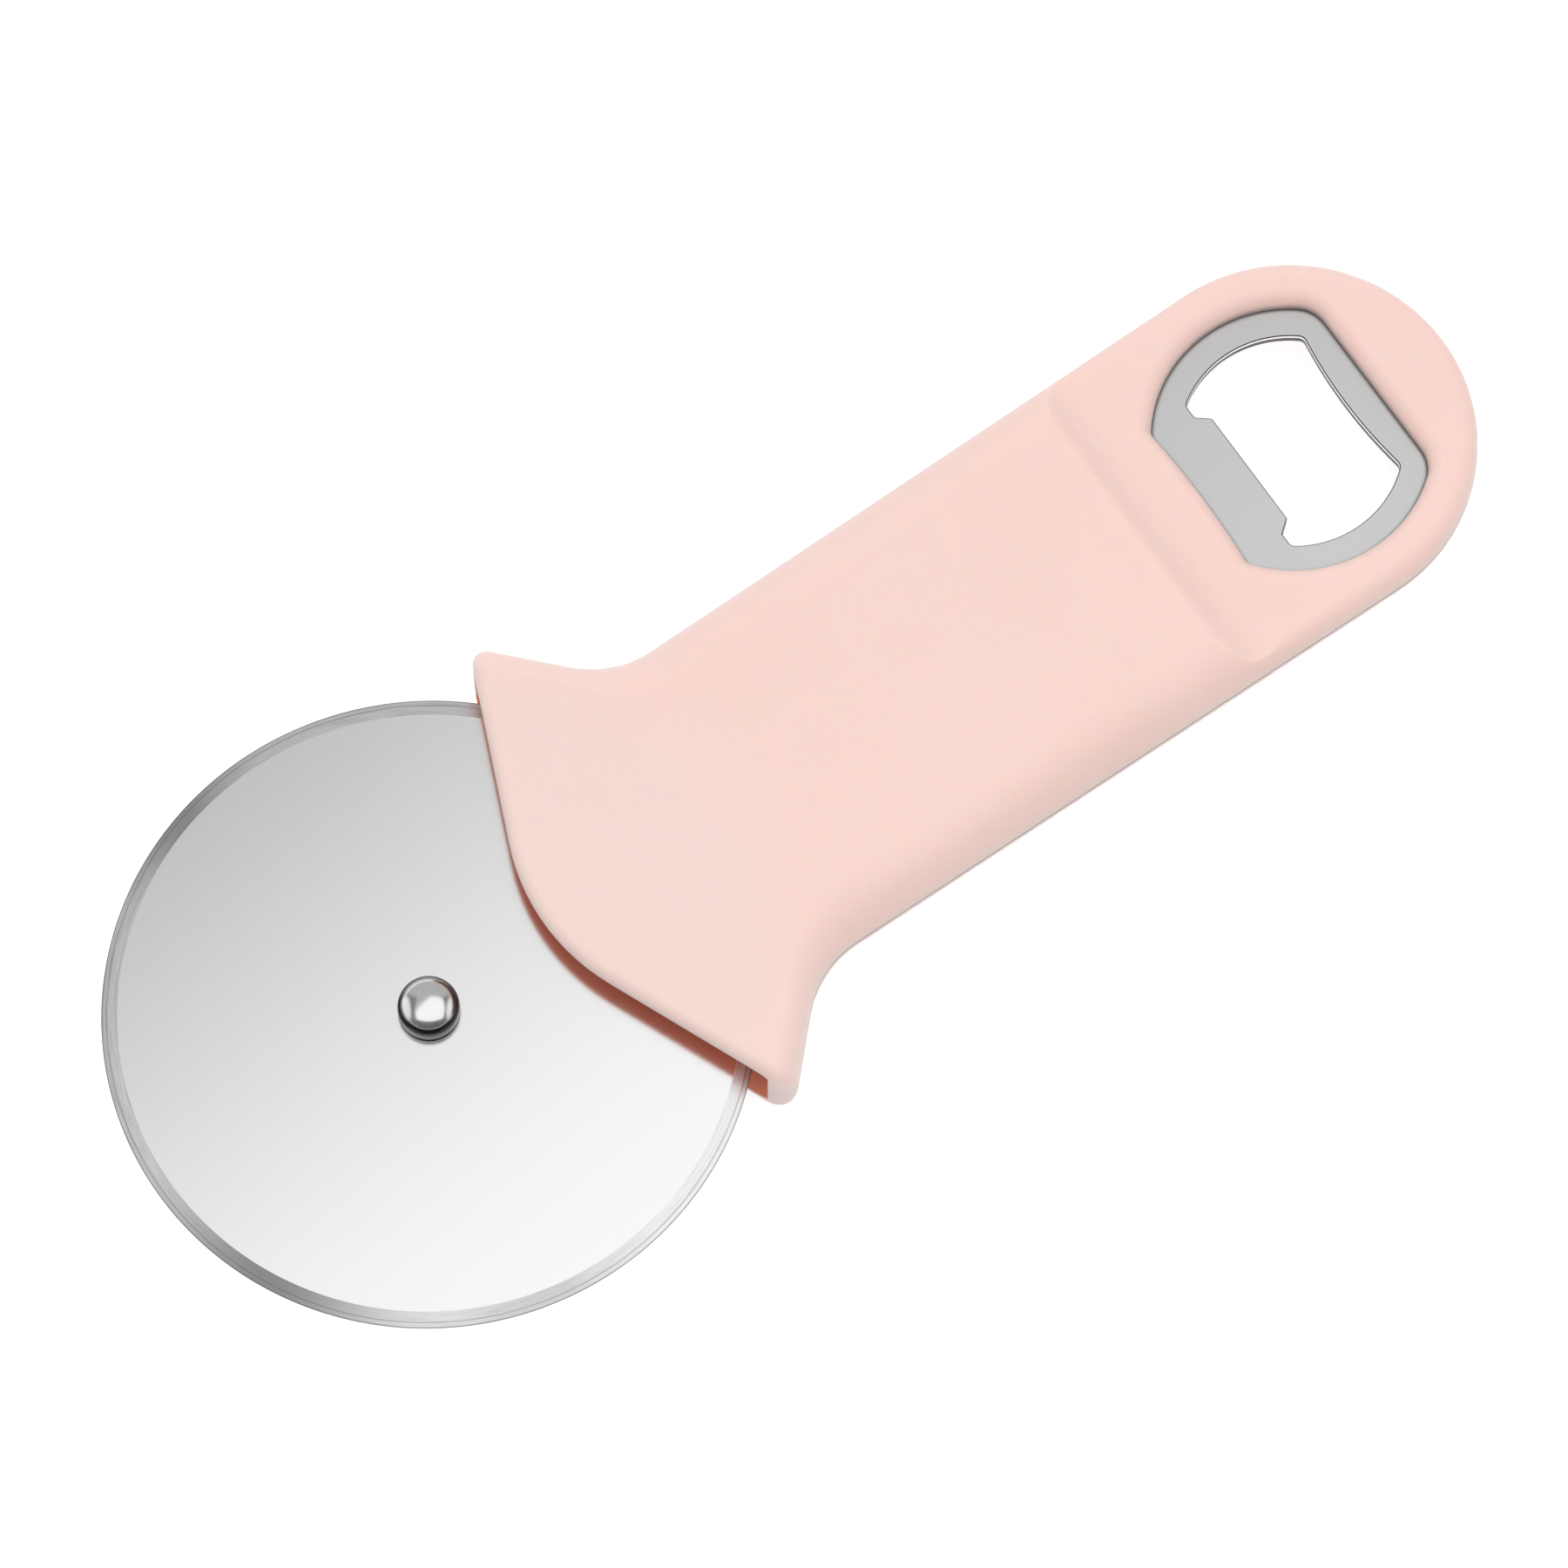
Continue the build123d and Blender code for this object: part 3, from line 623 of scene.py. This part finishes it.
def pale_floor():
    """White floor: it takes soft shadows, and adds its own white where it is seen or mirrored."""
    own_white = 0.6
    material, nodes, links, shader = new_material("pale_floor")
    shader.inputs["Base Color"].default_value = (0.7, 0.7, 0.7, 1)
    shader.inputs["Roughness"].default_value = 0.9
    shader.inputs["Specular IOR Level"].default_value = 0.0
    rays = nodes.new("ShaderNodeLightPath").outputs
    seen = calculate(nodes, links, "MAXIMUM", rays["Is Camera Ray"], rays["Is Glossy Ray"])
    seen = calculate(nodes, links, "MAXIMUM", seen, rays["Is Transmission Ray"])
    glow = nodes.new("ShaderNodeEmission")
    glow.inputs["Color"].default_value = (1, 1, 1, 1)
    links.new(calculate(nodes, links, "MULTIPLY", seen, own_white), glow.inputs["Strength"])
    both = nodes.new("ShaderNodeAddShader")
    links.new(shader.outputs[0], both.inputs[0])
    links.new(glow.outputs[0], both.inputs[1])
    links.new(both.outputs[0], nodes["Material Output"].inputs["Surface"])
    return material


def add_floor():
    """A wide floor just below the part's flat back, so that the two don't lie in one plane."""
    half_width = 4.0
    gap = 0.2 * MM
    mesh = bmesh.new()
    bmesh.ops.create_grid(mesh, x_segments=1, y_segments=1, size=half_width)
    bmesh.ops.translate(mesh, vec=(0, 0, -gap), verts=mesh.verts)
    data = bpy.data.meshes.new("floor")
    mesh.to_mesh(data)
    mesh.free()
    data.materials.append(pale_floor())
    floor = bpy.data.objects.new("floor", data)
    bpy.context.scene.collection.objects.link(floor)


add_floor()


# Light: an even white world, the studio that bright metal mirrors, and a softbox round the camera

# How far the softbox is, and how far it reaches to each side of the line from the wheel to the camera
box_distance = 0.5
box_left = 0.465
box_right = 0.64
box_low = 0.37
box_high = 0.52


def inside_box(nodes, links, back, value, sign, half_width):
    """1 in a direction that lies inside one side of the softbox, 0 outside it."""
    blur = 0.03
    edge = calculate(nodes, links, "MULTIPLY", back, half_width / box_distance)
    inside = calculate(nodes, links, "ADD", edge, calculate(nodes, links, "MULTIPLY", value, sign))
    return remap(nodes, links, inside, -blur, blur, 0, 1, smooth=True)


def mirrored_studio(nodes, links, right, up, back):
    """The brightness that metal mirrors: softbox and ceiling, duller walls, a bright panel at each side."""
    lit_level = 0.47
    low_wall = 0.14
    high_wall = 0.2
    panel_level = 0.9
    left_of_box = inside_box(nodes, links, back, right, 1, box_left)
    right_of_box = inside_box(nodes, links, back, right, -1, box_right)
    foot_of_box = inside_box(nodes, links, back, up, 1, box_low)
    box = calculate(nodes, links, "MULTIPLY", left_of_box, right_of_box)
    box = calculate(nodes, links, "MULTIPLY", box, foot_of_box)
    ceiling = remap(nodes, links, up, 0.55, 0.68, 0, 1, smooth=True)
    lit = calculate(nodes, links, "MAXIMUM", box, ceiling)
    walls = remap(nodes, links, up, -0.65, -0.45, low_wall, high_wall, smooth=True)
    above_walls = calculate(nodes, links, "SUBTRACT", lit_level, walls)
    lift = calculate(nodes, links, "MULTIPLY", lit, above_walls)
    room = calculate(nodes, links, "ADD", walls, lift)
    sideways = calculate(nodes, links, "ABSOLUTE", right)
    panels = remap(nodes, links, sideways, 0.80, 0.90, 0, panel_level, smooth=True)
    return calculate(nodes, links, "MAXIMUM", room, panels)


def studio_world():
    """White world: its light on the object is stronger from the top, and bright metal mirrors a studio."""
    bottom_level = 0.36
    top_level = 1.06
    world = bpy.data.worlds.new("studio")
    bpy.context.scene.world = world
    world.use_nodes = True
    nodes = world.node_tree.nodes
    links = world.node_tree.links
    background = nodes["Background"]
    towards = nodes.new("ShaderNodeTexCoord").outputs["Generated"]
    right = along(nodes, links, towards, view_right)
    up = along(nodes, links, towards, view_up)
    back = along(nodes, links, towards, view_back)
    mirrored = mirrored_studio(nodes, links, right, up, back)
    top = along(nodes, links, towards, (view_up - 0.25 * view_right).normalized())
    even = remap(nodes, links, top, -1, 1, bottom_level, top_level)
    rays = nodes.new("ShaderNodeLightPath").outputs
    lighting = blend_values(nodes, links, rays["Is Glossy Ray"], even, mirrored)
    strength = calculate(nodes, links, "MAXIMUM", lighting, rays["Is Camera Ray"])
    background.inputs["Color"].default_value = (1, 1, 1, 1)
    links.new(strength, background.inputs["Strength"])


def softbox():
    """A rectangular lamp round the camera, whose upper left corner fades out along a slanted line."""
    radiance = 0.48
    line_height = 0.74 * box_distance
    fade_before = 0.085
    fade_after = 0.035
    data = bpy.data.lights.new("front_softbox", "AREA")
    data.shape = "RECTANGLE"
    data.size = box_left + box_right
    data.size_y = box_low + box_high
    # an area lamp of radiance 1 takes four times its area in watts
    data.energy = radiance * 4 * data.size * data.size_y
    data.use_nodes = True
    nodes = data.node_tree.nodes
    links = data.node_tree.links
    emission = next(node for node in nodes if node.type == "EMISSION")
    geometry = nodes.new("ShaderNodeNewGeometry")
    lower_right = (view_right - view_up).normalized()
    slant = along(nodes, links, geometry.outputs["Position"], lower_right)
    centre = Vector((axle_x, 0, mid_z))
    line_point = centre + view_back * box_distance + view_up * line_height
    line = lower_right.dot(line_point)
    fade = remap(nodes, links, slant, line - fade_before, line + fade_after, 0.0, 1.0)
    links.new(fade, emission.inputs["Strength"])
    lamp = bpy.data.objects.new("front_softbox", data)
    bpy.context.scene.collection.objects.link(lamp)
    middle = view_right * (box_right - box_left) / 2 + view_up * (box_high - box_low) / 2
    turn = Matrix((view_right, view_up, view_back)).transposed().to_4x4()
    lamp.matrix_world = Matrix.Translation(centre + middle + view_back * box_distance) @ turn
    lamp.visible_camera = False


studio_world()
softbox()

bpy.context.scene.view_settings.view_transform = "Standard"
